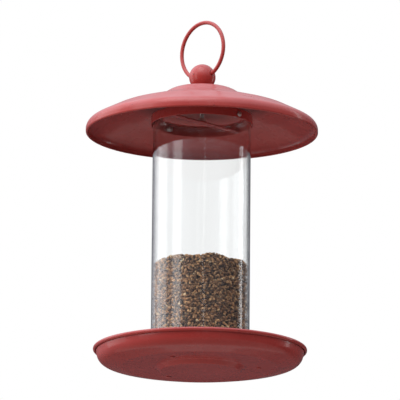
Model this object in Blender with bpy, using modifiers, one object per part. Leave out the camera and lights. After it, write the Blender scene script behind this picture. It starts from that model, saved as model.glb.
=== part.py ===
"""Hanging bird feeder: a clear seed tube between a pressed steel roof and a pressed steel tray.

Metres, +Z up. The origin is the hook seat, the inner top of the hanging loop.
The loop lies in the XZ plane, the collar screws point along X and the cross bar runs along Y.
"""

import math

import bmesh
import bpy

NAME = "hanging_bird_feeder"
GAP = 0.0003  # clearance between pieces that touch
SHEET = 0.0012  # pressed sheet thickness
STEPS = 36  # steps round the large turned pieces
SMALL_STEPS = 16  # steps round fasteners
BALL_STEPS = 32
ARC_STEP = math.radians(28)  # turn between two points of a fillet

# Hanging loop and ball finial
WIRE_R = 0.0028
LOOP_R = 0.0415  # centre line of the ring
LOOP_RISE = 0.036  # ring centre above the cross hole
LOOP_END = 0.008  # how near the wire's ends come to the middle of the ball
LOOP_BEND = 0.0022  # length of each side of the bend into the cross hole
LOOP_POINTS = 40  # points round the ring
HOLE_Z = -(LOOP_RISE + LOOP_R - WIRE_R)  # cross hole, below the hook seat
HOLE_R = 0.0035
BALL_R = 0.019
BALL_DROP = 0.0033  # ball centre below the cross hole
BALL_FLAT = 0.0164  # ball centre to its flat foot
BALL_ARC_POINTS = 14
BLIND_HOLE_SPARE = 0.0006  # depth past the stud's tip
BALL_Z = HOLE_Z - BALL_DROP
BALL_FOOT_Z = BALL_Z - BALL_FLAT
SEAL_R = 0.0085
SEAL_T = 0.0012

# Roof
ROOF_TOP_Z = BALL_FOOT_Z - SEAL_T - 2 * GAP
EAVE_Z = ROOF_TOP_Z - 0.0603  # level of the roof's widest circle
ROOF_R = 0.166
ROOF_HOLE_R = 0.0036
# corners of the pressing: radius, height above the eave, fillet radius
ROOF_CROWN = (0.0440, ROOF_TOP_Z - EAVE_Z, 0.030)
ROOF_FLANK = (0.0610, 0.0484, 0.014)
ROOF_SLOPE = (0.1270, 0.0282, 0.070)
ROOF_SKIRT = (0.1580, 0.0126, 0.030)
ROOF_EDGE = (ROOF_R, 0.0075, 0.0125)
ROOF_HEM = (ROOF_R, -0.0045, 0.0022)
ROOF_HEM_IN = (0.1630, -0.0045, None)

# Centre stud, M6
STUD_R = 0.003
STUD_HOLE_R = STUD_R + GAP
STUD_ENGAGED = 0.012
NUT_FLATS = 0.010
NUT_H = 0.005
WASHER_R = 0.011
WASHER_T = 0.0015

# Collar round the tube's top, and the bar across it
COLLAR_R = 0.073
COLLAR_TOP_Z = EAVE_Z + 0.022
COLLAR_LOW_Z = EAVE_Z + 0.0073
COLLAR_LIP_R = 0.0635  # inner edge of the turned-in lip
COLLAR_EDGE_R = 0.003
BAR_WIDTH = 0.012
BAR_T = 0.002
BAR_LOW_Z = COLLAR_LOW_Z + 0.003
BAR_TOP_Z = BAR_LOW_Z + BAR_T
BAR_HALF = 0.0710

# Radial screws, M4
SCREW_R = 0.002
SCREW_HOLE_R = SCREW_R + GAP
SCREW_HEAD_R = 0.0038
SCREW_HEAD_H = 0.0024
SCREW_HEAD_FLAT_R = 0.001
SCREW_HEAD_EDGE_R = 0.0015
SCREW_PAST_NUT = 0.0018
COLLAR_SCREW_Z = COLLAR_LOW_Z + 0.0055
SMALL_NUT_FLATS = 0.007
SMALL_NUT_H = 0.0032

# Clear tube
TUBE_R = 0.070
TUBE_WALL = 0.003
TUBE_IN_R = TUBE_R - TUBE_WALL
TUBE_TOP_Z = COLLAR_TOP_Z - SHEET - GAP

# Tray
RIM_Z = EAVE_Z - 0.3195  # middle of the rolled rim
TRAY_UNDER_Z = RIM_Z - 0.025
TRAY_FLOOR_Z = TRAY_UNDER_Z + SHEET
WELL_R = 0.0634
WELL_DEPTH = 0.006
WELL_FLANK = 0.007  # how far the well's sloping side runs in
WELL_TOP_BEND = 0.002
WELL_FOOT_BEND = 0.003
BEAD_R = 0.00155  # inner radius of the rolled rim
BEAD_AT_R = 0.149
BEAD_STEPS = 6
# corners of the wall: radius, height above the rim, fillet radius
WALL_TOP = (0.1475, -0.0040, 0.010)
WALL_FOOT = (0.1437, -0.0185, 0.015)
FLOOR_EDGE = (0.1120, TRAY_UNDER_Z - RIM_Z, 0.008)
DRAIN_R = 0.002
DRAIN_AT_R = 0.106
DRAIN_COUNT = 6
DRAIN_FIRST = math.radians(9.5)  # clear of the rivets

# Base ring and the foot of the tube
TUBE_LOW_Z = TRAY_FLOOR_Z + GAP
BASE_R = 0.073
BASE_FLANGE_R = 0.090
BASE_TOP_Z = TRAY_FLOOR_Z + 0.013
BASE_SCREW_Z = TRAY_FLOOR_Z + 0.0075
BASE_SCREW_END_R = 0.0675
BASE_BEND_R = 0.0015
RIVET_AT_R = 0.083
RIVET_R = 0.0018
RIVET_HEAD_R = 0.0036
RIVET_HEAD_H = 0.0014
RIVET_CROWN = (0.0022, 0.0011)  # radius and height of the dome's shoulder
RIVET_ANGLES = [math.radians(46 + 120 * n) for n in range(3)]
PORT_WIDTH = 0.030
PORT_LOW_Z = TRAY_FLOOR_Z + 0.0155
PORT_H = 0.020
PORT_CORNER = 0.008
PORT_CORNER_STEPS = 4

# Baffle cone and seed
BAFFLE_R = 0.0662
BAFFLE_FOOT_R = 0.0580
BAFFLE_FOOT_BEND = 0.003
BAFFLE_APEX_Z = TRAY_FLOOR_Z + 0.030
SEED_FOOT_R = 0.0595
SEED_APEX_Z = BAFFLE_APEX_Z + 0.0012
SEED_R = 0.0664  # just inside the tube
SEED_TOP_Z = EAVE_Z - 0.192

# colour, roughness, metallic
RED_PAINT = ("red_paint", (0.38, 0.06, 0.06, 1.0), 0.35, 0.0)
STEEL = ("zinc_steel", (0.62, 0.62, 0.60, 1.0), 0.35, 1.0)
CLEAR = ("clear_plastic", (0.85, 0.90, 0.88, 0.3), 0.08, 0.0)
RUBBER = ("black_rubber", (0.03, 0.03, 0.03, 1.0), 0.80, 0.0)
SEED = ("seed_mix", (0.20, 0.12, 0.07, 1.0), 0.85, 0.0)

parts = None
cutters = None


def start():
    """Empties the scene and makes the two collections."""
    global parts, cutters
    for obj in list(bpy.data.objects):
        bpy.data.objects.remove(obj, do_unlink=True)
    parts = bpy.data.collections.new(NAME)
    cutters = bpy.data.collections.new("cutters")
    bpy.context.scene.collection.children.link(parts)
    bpy.context.scene.collection.children.link(cutters)


def material(look):
    """The Principled material for a look, made once."""
    name, colour, roughness, metallic = look
    found = bpy.data.materials.get(name)
    if found:
        return found
    made = bpy.data.materials.new(name)
    made.use_nodes = True
    shader = made.node_tree.nodes["Principled BSDF"]
    shader.inputs["Base Color"].default_value = colour
    shader.inputs["Alpha"].default_value = colour[3]
    shader.inputs["Roughness"].default_value = roughness
    shader.inputs["Metallic"].default_value = metallic
    return made


def add_part(name, mesh, look):
    """Links a mesh as a named sub-part."""
    obj = bpy.data.objects.new(name, mesh)
    mesh.materials.append(material(look))
    parts.objects.link(obj)
    return obj


def add_cutter(name, mesh):
    """Links a mesh as a cutter, which isn't part of the object."""
    obj = bpy.data.objects.new(name, mesh)
    obj.hide_render = True
    obj.display_type = "WIRE"
    cutters.objects.link(obj)
    return obj


def rounded(corners):
    """Points along an outline of (x, z) or (x, z, fillet radius) corners, with each fillet as an arc."""
    points = []
    for n, corner in enumerate(corners):
        x, z = corner[:2]
        if len(corner) == 2:
            points.append((x, z))
            continue
        radius = corner[2]
        ax, az = corners[n - 1][0] - x, corners[n - 1][1] - z
        bx, bz = corners[n + 1][0] - x, corners[n + 1][1] - z
        la, lb = math.hypot(ax, az), math.hypot(bx, bz)
        ax, az, bx, bz = ax / la, az / la, bx / lb, bz / lb
        inner = math.acos(max(-1.0, min(1.0, ax * bx + az * bz)))
        turn = math.pi - inner
        reach = radius / math.tan(inner / 2)
        mx, mz = ax + bx, az + bz
        lm = math.hypot(mx, mz)
        away = radius / math.sin(inner / 2)
        cx, cz = x + mx / lm * away, z + mz / lm * away
        start_angle = math.atan2(z + az * reach - cz, x + ax * reach - cx)
        side = 1.0 if ax * bz - az * bx < 0 else -1.0
        count = max(1, math.ceil(turn / ARC_STEP))
        for k in range(count + 1):
            angle = start_angle + side * turn * k / count
            points.append((cx + radius * math.cos(angle), cz + radius * math.sin(angle)))
    return points


def above(level, corner):
    """A (radius, height, fillet) corner with its height counted from a level."""
    x, height, radius = corner
    return (x, level + height) if radius is None else (x, level + height, radius)


def arc(cx, cz, radius, first, last, count):
    """Points on an arc, with angles in degrees from +X."""
    angles = [math.radians(first + (last - first) * k / count) for k in range(count + 1)]
    return [(cx + radius * math.cos(a), cz + radius * math.sin(a)) for a in angles]


def profile_mesh(name, points, closed):
    """An outline in the XZ plane, as edges only."""
    mesh = bpy.data.meshes.new(name)
    edges = [(n, n + 1) for n in range(len(points) - 1)]
    if closed:
        edges.append((len(points) - 1, 0))
    mesh.from_pydata([(x, 0.0, z) for x, z in points], edges, [])
    return mesh


def spin(obj, steps):
    """Turns an object's outline about Z."""
    screw = obj.modifiers.new("turn", "SCREW")
    screw.axis = "Z"
    screw.angle = 2 * math.pi
    screw.steps = steps
    screw.render_steps = steps
    screw.use_merge_vertices = True
    screw.merge_threshold = 0.00001
    screw.use_smooth_shade = True


def turned(name, points, look, steps=STEPS, closed=False, sheet=None):
    """A turned piece: a solid outline, or with sheet an open outline given that thickness inwards."""
    obj = add_part(name, profile_mesh(name, points, closed), look)
    spin(obj, steps)
    if sheet:
        shell = obj.modifiers.new("sheet", "SOLIDIFY")
        shell.thickness = sheet
        shell.offset = -1.0
        shell.use_even_offset = True
    return obj


def drill(obj, cutter):
    """Takes a cutter's volume out of a part."""
    cut = obj.modifiers.new("cut_" + cutter.name, "BOOLEAN")
    cut.operation = "DIFFERENCE"
    cut.solver = "EXACT"
    cut.object = cutter


def cylinder_cutter(name, radius, length, location, axis="Z"):
    """A round cutter centred on a point, along X, Y or Z."""
    mesh = bpy.data.meshes.new(name)
    shape = bmesh.new()
    bmesh.ops.create_cone(
        shape, cap_ends=True, segments=SMALL_STEPS, radius1=radius, radius2=radius, depth=length
    )
    shape.to_mesh(mesh)
    shape.free()
    obj = add_cutter(name, mesh)
    obj.rotation_euler = {
        "X": (0.0, math.pi / 2, 0.0),
        "Y": (math.pi / 2, 0.0, 0.0),
        "Z": (0.0, 0.0, 0.0),
    }[axis]
    obj.location = location
    return obj


def box_mesh(name, size):
    """A box mesh centred on its origin."""
    mesh = bpy.data.meshes.new(name)
    shape = bmesh.new()
    bmesh.ops.create_cube(shape, size=1.0)
    bmesh.ops.scale(shape, vec=size, verts=shape.verts)
    shape.to_mesh(mesh)
    shape.free()
    return mesh


def ring_outline(inner, outer, low, high):
    """A square-edged ring's closed outline, running down its outer side."""
    return [(inner, high), (outer, high), (outer, low), (inner, low)]


def hex_nut(name, flats, height, bore, look):
    """A hexagon nut standing on its origin, with its axis along Z."""
    mesh = bpy.data.meshes.new(name)
    shape = bmesh.new()
    corner = flats / math.sqrt(3)
    bmesh.ops.create_cone(
        shape, cap_ends=True, segments=6, radius1=corner, radius2=corner, depth=height
    )
    bmesh.ops.translate(shape, vec=(0.0, 0.0, height / 2), verts=shape.verts)
    shape.to_mesh(mesh)
    shape.free()
    nut = add_part(name, mesh, look)
    cutter = cylinder_cutter(name + "_bore", bore, height * 3, (0.0, 0.0, height / 2))
    cutter.parent = nut
    drill(nut, cutter)
    return nut


def pan_head_screw(name, shank_length, look):
    """A pan head screw along Z: the head is above its origin and the shank below."""
    head = [(0.0, SCREW_HEAD_H), *rounded([
        (SCREW_HEAD_FLAT_R, SCREW_HEAD_H),
        (SCREW_HEAD_R, SCREW_HEAD_H, SCREW_HEAD_EDGE_R),
        (SCREW_HEAD_R, 0.0),
    ])]
    shank = [(SCREW_R, 0.0), (SCREW_R, -shank_length), (0.0, -shank_length)]
    return turned(name, head + shank, look, SMALL_STEPS)


def hanger_loop():
    """The wire ring, whose two ends turn into the ball's cross hole."""
    meet = math.sqrt(LOOP_R**2 - LOOP_RISE**2)
    centre_z = HOLE_Z + LOOP_RISE
    straight = meet - LOOP_BEND
    first = -math.atan2(LOOP_RISE, meet) + LOOP_BEND / LOOP_R
    side = []
    for k in range(LOOP_POINTS + 1):
        angle = first + (math.pi - 2 * first) * k / LOOP_POINTS
        side.append((LOOP_R * math.cos(angle), centre_z + LOOP_R * math.sin(angle)))
    leave = side[0]
    curve_points = [(LOOP_END, HOLE_Z), (straight, HOLE_Z)]
    for t in (1 / 3, 2 / 3):
        x = (1 - t) ** 2 * straight + 2 * t * (1 - t) * meet + t**2 * leave[0]
        z = (1 - t) ** 2 * HOLE_Z + 2 * t * (1 - t) * HOLE_Z + t**2 * leave[1]
        curve_points.append((x, z))
    other_end = [(-x, z) for x, z in reversed(curve_points)]
    route = curve_points + side + other_end
    data = bpy.data.curves.new("hanger_loop", "CURVE")
    data.dimensions = "3D"
    data.bevel_depth = WIRE_R
    data.bevel_resolution = 3
    data.use_fill_caps = True
    spline = data.splines.new("POLY")
    spline.points.add(len(route) - 1)
    for point, (x, z) in zip(spline.points, route):
        point.co = (x, 0.0, z, 1.0)
    data.materials.append(material(RED_PAINT))
    loop = bpy.data.objects.new("hanger_loop", data)
    parts.objects.link(loop)


def finial_ball():
    """The ball, with a flat foot, the loop's cross hole and a blind hole for the stud."""
    foot = math.degrees(math.acos(BALL_FLAT / BALL_R))
    points = arc(0.0, 0.0, BALL_R, 90, -90 + foot, BALL_ARC_POINTS)
    points[0] = (0.0, BALL_R)
    points.append((0.0, -BALL_FLAT))
    ball = turned("finial_ball", points, RED_PAINT, BALL_STEPS)
    ball.location.z = BALL_Z
    drill(ball, cylinder_cutter("cross_hole", HOLE_R, 3 * BALL_R, (0.0, 0.0, HOLE_Z), "X"))
    depth = STUD_ENGAGED + BLIND_HOLE_SPARE
    middle = BALL_FOOT_Z + depth - BALL_R / 2
    drill(ball, cylinder_cutter("blind_hole", STUD_HOLE_R, BALL_R, (0.0, 0.0, middle)))


def finial_seal():
    """The rubber washer between the ball and the roof."""
    low = ROOF_TOP_Z + GAP
    turned("finial_seal", ring_outline(ROOF_HOLE_R, SEAL_R, low, low + SEAL_T), RUBBER,
           SMALL_STEPS, closed=True)


def roof_shell():
    """The pressed roof: a flat crown, its flank, the long slope and a rolled-under edge."""
    corners = (ROOF_CROWN, ROOF_FLANK, ROOF_SLOPE, ROOF_SKIRT, ROOF_EDGE, ROOF_HEM, ROOF_HEM_IN)
    outline = [(ROOF_HOLE_R, ROOF_TOP_Z)] + [above(EAVE_Z, corner) for corner in corners]
    turned("roof_shell", rounded(outline), RED_PAINT, sheet=SHEET)


def roof_support():
    """The washer and nut on the stud that hold the roof's crown up against the ball."""
    top = ROOF_TOP_Z - SHEET - GAP
    turned("roof_washer", ring_outline(STUD_HOLE_R, WASHER_R, top - WASHER_T, top), STEEL,
           SMALL_STEPS, closed=True)
    nut = hex_nut("roof_nut", NUT_FLATS, NUT_H, STUD_HOLE_R, STEEL)
    nut.location.z = top - WASHER_T - GAP - NUT_H


def centre_stud():
    """The threaded stud from the cross bar up into the ball, and the nut welded at its foot."""
    low = BAR_TOP_Z + GAP
    high = BALL_FOOT_Z + STUD_ENGAGED
    turned("centre_stud", [(0.0, high), (STUD_R, high), (STUD_R, low), (0.0, low)], STEEL,
           SMALL_STEPS)
    nut = hex_nut("stud_foot_nut", NUT_FLATS, NUT_H, STUD_HOLE_R, STEEL)
    nut.location.z = low


def cross_bar():
    """The flat bar across the collar that carries the tube and tray."""
    bar = add_part(
        "cross_bar", box_mesh("cross_bar", (BAR_WIDTH, 2 * BAR_HALF, BAR_T)), RED_PAINT
    )
    bar.location.z = (BAR_LOW_Z + BAR_TOP_Z) / 2


def top_collar():
    """The pressed band round the tube's top, its upper edge turned in over the tube."""
    outline = rounded([
        (COLLAR_LIP_R, COLLAR_TOP_Z),
        (COLLAR_R, COLLAR_TOP_Z, COLLAR_EDGE_R),
        (COLLAR_R, COLLAR_LOW_Z),
    ])
    collar = turned("top_collar", outline, RED_PAINT, sheet=SHEET)
    drill(collar, bpy.data.objects["collar_screw_holes"])


def collar_fasteners():
    """Two radial screws along X, each with a nut inside the tube."""
    head_x = COLLAR_R + GAP
    nut_x = TUBE_IN_R - 0.0005
    length = head_x - nut_x + SMALL_NUT_H + SCREW_PAST_NUT
    for label, side in (("right", 1), ("left", -1)):
        screw = pan_head_screw("collar_screw_" + label, length, STEEL)
        screw.rotation_euler = (0.0, side * math.pi / 2, 0.0)
        screw.location = (side * head_x, 0.0, COLLAR_SCREW_Z)
        nut = hex_nut("collar_nut_" + label, SMALL_NUT_FLATS, SMALL_NUT_H, SCREW_HOLE_R, STEEL)
        nut.rotation_euler = (0.0, -side * math.pi / 2, 0.0)
        nut.location = (side * nut_x, 0.0, COLLAR_SCREW_Z)


def port_cutter(name, axis):
    """A rounded slot through both sides of the tube, along X or Y."""
    length = 2 * TUBE_R + 0.02
    mesh = box_mesh(name, (length, PORT_WIDTH, PORT_H))
    shape = bmesh.new()
    shape.from_mesh(mesh)
    along = [e for e in shape.edges if abs(e.verts[0].co.x - e.verts[1].co.x) > length / 2]
    bmesh.ops.bevel(
        shape, geom=along, offset=PORT_CORNER, segments=PORT_CORNER_STEPS, profile=0.5, affect="EDGES"
    )
    shape.to_mesh(mesh)
    shape.free()
    cutter = add_cutter(name, mesh)
    cutter.location.z = PORT_LOW_Z + PORT_H / 2
    cutter.rotation_euler.z = 0.0 if axis == "X" else math.pi / 2
    return cutter


def feed_tube():
    """The clear tube, notched over the cross bar at its top and with four seed ports at its foot."""
    tube = turned(
        "feed_tube", ring_outline(TUBE_IN_R, TUBE_R, TUBE_LOW_Z, TUBE_TOP_Z), CLEAR, closed=True
    )
    drill(tube, bpy.data.objects["collar_screw_holes"])
    notch_low = BAR_LOW_Z - GAP
    notch_high = COLLAR_TOP_Z + 0.01
    notch = add_cutter(
        "bar_notch", box_mesh("bar_notch", (BAR_WIDTH + 0.001, 3 * TUBE_R, notch_high - notch_low))
    )
    notch.location.z = (notch_low + notch_high) / 2
    drill(tube, notch)
    drill(tube, port_cutter("ports_x", "X"))
    drill(tube, port_cutter("ports_y", "Y"))
    drill(tube, bpy.data.objects["base_screw_holes"])


def base_ring():
    """The flanged ring that holds the tube's foot and is riveted to the tray."""
    low = TRAY_FLOOR_Z + GAP + SHEET
    outline = rounded([
        (BASE_R, BASE_TOP_Z),
        (BASE_R, low, BASE_BEND_R),
        (BASE_FLANGE_R, low),
    ])
    ring = turned("base_ring", outline, RED_PAINT, sheet=SHEET)
    drill(ring, bpy.data.objects["base_screw_holes"])
    for n in range(len(RIVET_ANGLES)):
        drill(ring, bpy.data.objects[f"rivet_hole_{n + 1}"])


def base_fasteners():
    """Two radial screws along Y into the tube's foot, and the rivets through flange and tray."""
    head = BASE_R + GAP
    for label, side in (("front", -1), ("back", 1)):
        screw = pan_head_screw("base_screw_" + label, head - BASE_SCREW_END_R, STEEL)
        screw.rotation_euler = (-side * math.pi / 2, 0.0, 0.0)
        screw.location = (0.0, side * head, BASE_SCREW_Z)
    top = TRAY_FLOOR_Z + GAP + SHEET + GAP
    low = TRAY_UNDER_Z - GAP
    crown_r, crown_h = RIVET_CROWN
    outline = [
        (0.0, top + RIVET_HEAD_H),
        (crown_r, top + crown_h),
        (RIVET_HEAD_R, top),
        (RIVET_R, top),
        (RIVET_R, low),
        (RIVET_HEAD_R, low),
        (crown_r, low - crown_h),
        (0.0, low - RIVET_HEAD_H),
    ]
    for n, angle in enumerate(RIVET_ANGLES):
        rivet = turned(f"tray_rivet_{n + 1}", outline, RED_PAINT, SMALL_STEPS)
        rivet.location = (RIVET_AT_R * math.cos(angle), RIVET_AT_R * math.sin(angle), 0.0)


def tray():
    """The pressed tray: a rolled rim, a curved wall, a flat floor and a shallow well in the middle."""
    rim = arc(BEAD_AT_R, RIM_Z, BEAD_R, -90, 180, BEAD_STEPS)
    well_z = TRAY_UNDER_Z - WELL_DEPTH
    body = rounded([
        rim[-1],
        *(above(RIM_Z, corner) for corner in (WALL_TOP, WALL_FOOT, FLOOR_EDGE)),
        (WELL_R, TRAY_UNDER_Z, WELL_TOP_BEND),
        (WELL_R - WELL_FLANK, well_z, WELL_FOOT_BEND),
        (0.0, well_z),
    ])
    dish = turned("tray", rim[:-1] + body, RED_PAINT, sheet=SHEET)
    for n in range(len(RIVET_ANGLES)):
        drill(dish, bpy.data.objects[f"rivet_hole_{n + 1}"])
    for n in range(DRAIN_COUNT):
        drill(dish, bpy.data.objects[f"drain_hole_{n + 1}"])


def seed_baffle():
    """The cone inside the tube's foot that sheds seed towards the ports."""
    low = TRAY_FLOOR_Z + GAP + SHEET
    outline = rounded([
        (0.0, BAFFLE_APEX_Z),
        (BAFFLE_FOOT_R, low, BAFFLE_FOOT_BEND),
        (BAFFLE_R, low),
    ])
    turned("seed_baffle", outline, STEEL, sheet=SHEET)


def seed_fill():
    """The seed inside the tube, as one solid from the baffle up to its level top."""
    low = TRAY_FLOOR_Z + GAP + SHEET + GAP
    outline = [
        (0.0, SEED_TOP_Z),
        (SEED_R, SEED_TOP_Z),
        (SEED_R, low),
        (SEED_FOOT_R, low),
        (0.0, SEED_APEX_Z),
    ]
    turned("seed_fill", outline, SEED)


def hole_cutters():
    """The cutters that two pieces share, so that their holes line up."""
    cylinder_cutter("collar_screw_holes", SCREW_HOLE_R, 0.2, (0.0, 0.0, COLLAR_SCREW_Z), "X")
    cylinder_cutter("base_screw_holes", SCREW_HOLE_R, 0.2, (0.0, 0.0, BASE_SCREW_Z), "Y")
    for n, angle in enumerate(RIVET_ANGLES):
        place = (RIVET_AT_R * math.cos(angle), RIVET_AT_R * math.sin(angle), TRAY_FLOOR_Z)
        cylinder_cutter(f"rivet_hole_{n + 1}", RIVET_R + GAP, 0.02, place)
    for n in range(DRAIN_COUNT):
        angle = DRAIN_FIRST + 2 * math.pi * n / DRAIN_COUNT
        place = (DRAIN_AT_R * math.cos(angle), DRAIN_AT_R * math.sin(angle), TRAY_FLOOR_Z)
        cylinder_cutter(f"drain_hole_{n + 1}", DRAIN_R, 0.03, place)


def main():
    start()
    hole_cutters()
    hanger_loop()
    finial_ball()
    finial_seal()
    roof_shell()
    roof_support()
    centre_stud()
    cross_bar()
    top_collar()
    collar_fasteners()
    feed_tube()
    base_ring()
    base_fasteners()
    tray()
    seed_baffle()
    seed_fill()


main()
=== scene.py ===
"""Looks of the hanging bird feeder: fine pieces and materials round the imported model.

Metres, +Z up. The origin is the hook seat at the top of the wire loop. Every piece keeps its own
origin there, so a material's object coordinates are metres in the feeder's own frame.
"""
import math
import random

import bmesh
import bpy
import numpy as np
from mathutils import Euler, Matrix, Vector


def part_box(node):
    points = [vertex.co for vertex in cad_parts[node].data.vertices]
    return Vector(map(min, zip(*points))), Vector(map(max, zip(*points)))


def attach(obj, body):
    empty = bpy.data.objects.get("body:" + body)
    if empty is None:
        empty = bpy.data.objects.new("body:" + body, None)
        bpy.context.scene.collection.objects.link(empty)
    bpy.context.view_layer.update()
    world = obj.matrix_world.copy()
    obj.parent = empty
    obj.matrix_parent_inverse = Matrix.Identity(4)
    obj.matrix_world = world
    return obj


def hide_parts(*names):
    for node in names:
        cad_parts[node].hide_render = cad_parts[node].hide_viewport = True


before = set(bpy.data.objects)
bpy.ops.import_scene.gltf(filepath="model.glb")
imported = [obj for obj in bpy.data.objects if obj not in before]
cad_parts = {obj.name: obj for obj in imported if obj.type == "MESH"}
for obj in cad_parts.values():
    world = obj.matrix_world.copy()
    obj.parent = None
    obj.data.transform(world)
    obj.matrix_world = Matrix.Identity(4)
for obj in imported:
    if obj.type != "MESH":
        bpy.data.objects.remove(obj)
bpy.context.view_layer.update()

MM = 0.001
FEEDER = "feeder"

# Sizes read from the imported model
ROOF_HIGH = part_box("roof_shell")[1]
TRAY_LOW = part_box("tray")[0]
TUBE_LOW, TUBE_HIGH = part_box("feed_tube")
COLLAR_LOW, COLLAR_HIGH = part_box("top_collar")
BASE_LOW, BASE_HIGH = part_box("base_ring")
BALL_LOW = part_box("finial_ball")[0]
LOOP_LOW, LOOP_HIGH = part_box("hanger_loop")
STUD_LOW, STUD_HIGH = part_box("centre_stud")
BAR_LOW, BAR_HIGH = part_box("cross_bar")
SEAL_LOW, SEAL_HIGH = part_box("finial_seal")
SEED_LOW, SEED_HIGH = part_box("seed_fill")
BAFFLE_LOW, BAFFLE_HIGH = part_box("seed_baffle")

SHEET = 1.2 * MM
TURN_STEPS = 192  # steps round the large pieces
FILLET_STEP = math.radians(9)

ROOF_R = ROOF_HIGH.x
EAVE_Z = ROOF_HIGH.z - 60.3 * MM
TRAY_UNDER_Z = TRAY_LOW.z + 6 * MM
TRAY_FLOOR_Z = TRAY_UNDER_Z + SHEET
RIM_Z = TRAY_UNDER_Z + 25 * MM
TUBE_R = TUBE_HIGH.x
TUBE_IN_R = TUBE_R - 3 * MM
WIRE_R = 2.8 * MM
HOLE_Z = LOOP_LOW.z + WIRE_R  # the cross hole through the ball
COLLAR_SCREW_Z = (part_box("collar_screw_right")[0].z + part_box("collar_screw_right")[1].z) / 2
BASE_SCREW_Z = (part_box("base_screw_front")[0].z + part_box("base_screw_front")[1].z) / 2


# ---------------------------------------------------------------- outlines

def rounded(corners, step=FILLET_STEP):
    """Points along (r, z) or (r, z, fillet radius) corners, with each fillet as an arc."""
    points = []
    for n, corner in enumerate(corners):
        here = Vector(corner[:2])
        if len(corner) == 2:
            points.append(tuple(here))
            continue
        radius = corner[2]
        back = (Vector(corners[n - 1][:2]) - here).normalized()
        onward = (Vector(corners[(n + 1) % len(corners)][:2]) - here).normalized()
        inner = back.angle(onward)
        centre = here + (back + onward).normalized() * (radius / math.sin(inner / 2))
        first = here + back * (radius / math.tan(inner / 2)) - centre
        turn = math.pi - inner
        side = 1.0 if back.x * onward.y - back.y * onward.x < 0 else -1.0
        count = max(2, math.ceil(turn / step))
        for k in range(count + 1):
            spun = Matrix.Rotation(side * turn * k / count, 2) @ first
            points.append(tuple(centre + spun))
    return points


def arc(cx, cz, radius, first, last, count):
    """Points on an arc, with angles in degrees from +X."""
    angles = [math.radians(first + (last - first) * k / count) for k in range(count + 1)]
    return [(cx + radius * math.cos(a), cz + radius * math.sin(a)) for a in angles]


def subdivided(points, longest):
    """The same line with extra points, so that no stretch is longer than that."""
    made = [points[0]]
    for a, b in zip(points, points[1:]):
        count = max(1, math.ceil(math.dist(a, b) / longest))
        made += [tuple(a[i] + (b[i] - a[i]) * k / count for i in (0, 1)) for k in range(1, count + 1)]
    return made


def sheet_outline(points, thickness=SHEET, on_axis=False, cap=6):
    """A closed outline: a line of points thickened to its right, with rounded free ends."""
    line = [Vector(p) for p in points]
    other = []
    for n, here in enumerate(line):
        before = (here - line[n - 1]).normalized() if n else None
        after = (line[n + 1] - here).normalized() if n + 1 < len(line) else None
        along = ((before or after) + (after or before)).normalized()
        normal = Vector((along.y, -along.x))
        stretch = 1.0 / max(0.5, normal.dot(Vector(((after or before).y, -(after or before).x))))
        other.append(here + normal * thickness * stretch)
    if on_axis:
        other[-1].x = 0.0

    def end(a, b):
        middle, half = (a + b) / 2, (a - b) / 2
        spins = [Matrix.Rotation(-math.pi * k / cap, 2) for k in range(1, cap)]
        return [middle + spin @ half for spin in spins]

    loop = list(line)
    if not on_axis:
        loop += end(line[-1], other[-1])
    loop += reversed(other)
    loop += end(other[0], line[0])
    return [tuple(p) for p in loop]


# ---------------------------------------------------------------- meshes

def piece(name, mesh, body, look, slot, *stands_for):
    """Links a mesh as a named piece that rides on a body, wears a look and stands for CAD nodes."""
    obj = bpy.data.objects.new(name, mesh)
    bpy.context.scene.collection.objects.link(obj)
    mesh.materials.clear()
    mesh.materials.append(look)
    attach(obj, body)
    if stands_for:
        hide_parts(*stands_for)
    return obj


def finish_mesh(mesh, sharp=40):
    """Turns the faces outwards and shades smooth, except over sharp edges."""
    shape = bmesh.new()
    shape.from_mesh(mesh)
    bmesh.ops.remove_doubles(shape, verts=shape.verts, dist=1e-7)
    bmesh.ops.recalc_face_normals(shape, faces=shape.faces)
    shape.to_mesh(mesh)
    shape.free()
    mesh.shade_smooth()
    mesh.set_sharp_from_angle(angle=math.radians(sharp))
    return mesh


def turned(name, outline, steps=TURN_STEPS, closed=True, shift=(0.0, 0.0), sharp=40):
    """A mesh turned about Z from an (r, z) outline. A point on the axis is one vertex."""
    verts, rings = [], []
    for r, z in outline:
        if r < 1e-6:
            rings.append([len(verts)] * steps)
            verts.append((shift[0], shift[1], z))
            continue
        rings.append(list(range(len(verts), len(verts) + steps)))
        for k in range(steps):
            angle = 2 * math.pi * k / steps
            verts.append((shift[0] + r * math.cos(angle), shift[1] + r * math.sin(angle), z))
    pairs = list(zip(rings, rings[1:]))
    if closed:
        pairs.append((rings[-1], rings[0]))
    faces = []
    for a, b in pairs:
        for k in range(steps):
            corners = [a[k], a[(k + 1) % steps], b[(k + 1) % steps], b[k]]
            corners = list(dict.fromkeys(corners))
            if len(corners) > 2:
                faces.append(corners)
    mesh = bpy.data.meshes.new(name)
    mesh.from_pydata(verts, [], faces)
    return finish_mesh(mesh, sharp)


def cut(mesh, cutters, sharp=40):
    """The mesh with every cutter's volume taken out of it."""
    obj = bpy.data.objects.new(mesh.name + "_blank", mesh)
    bpy.context.scene.collection.objects.link(obj)
    made = []
    for cutter in cutters:
        tool = bpy.data.objects.new(mesh.name + "_cutter", cutter)
        bpy.context.scene.collection.objects.link(tool)
        change = obj.modifiers.new("cut", "BOOLEAN")
        change.operation = "DIFFERENCE"
        change.solver = "EXACT"
        change.object = tool
        made.append(tool)
    graph = bpy.context.evaluated_depsgraph_get()
    result = bpy.data.meshes.new_from_object(obj.evaluated_get(graph), depsgraph=graph)
    name = mesh.name
    for tool in made + [obj]:
        bpy.data.objects.remove(tool, do_unlink=True)
    result.name = name
    return finish_mesh(result, sharp)


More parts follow.
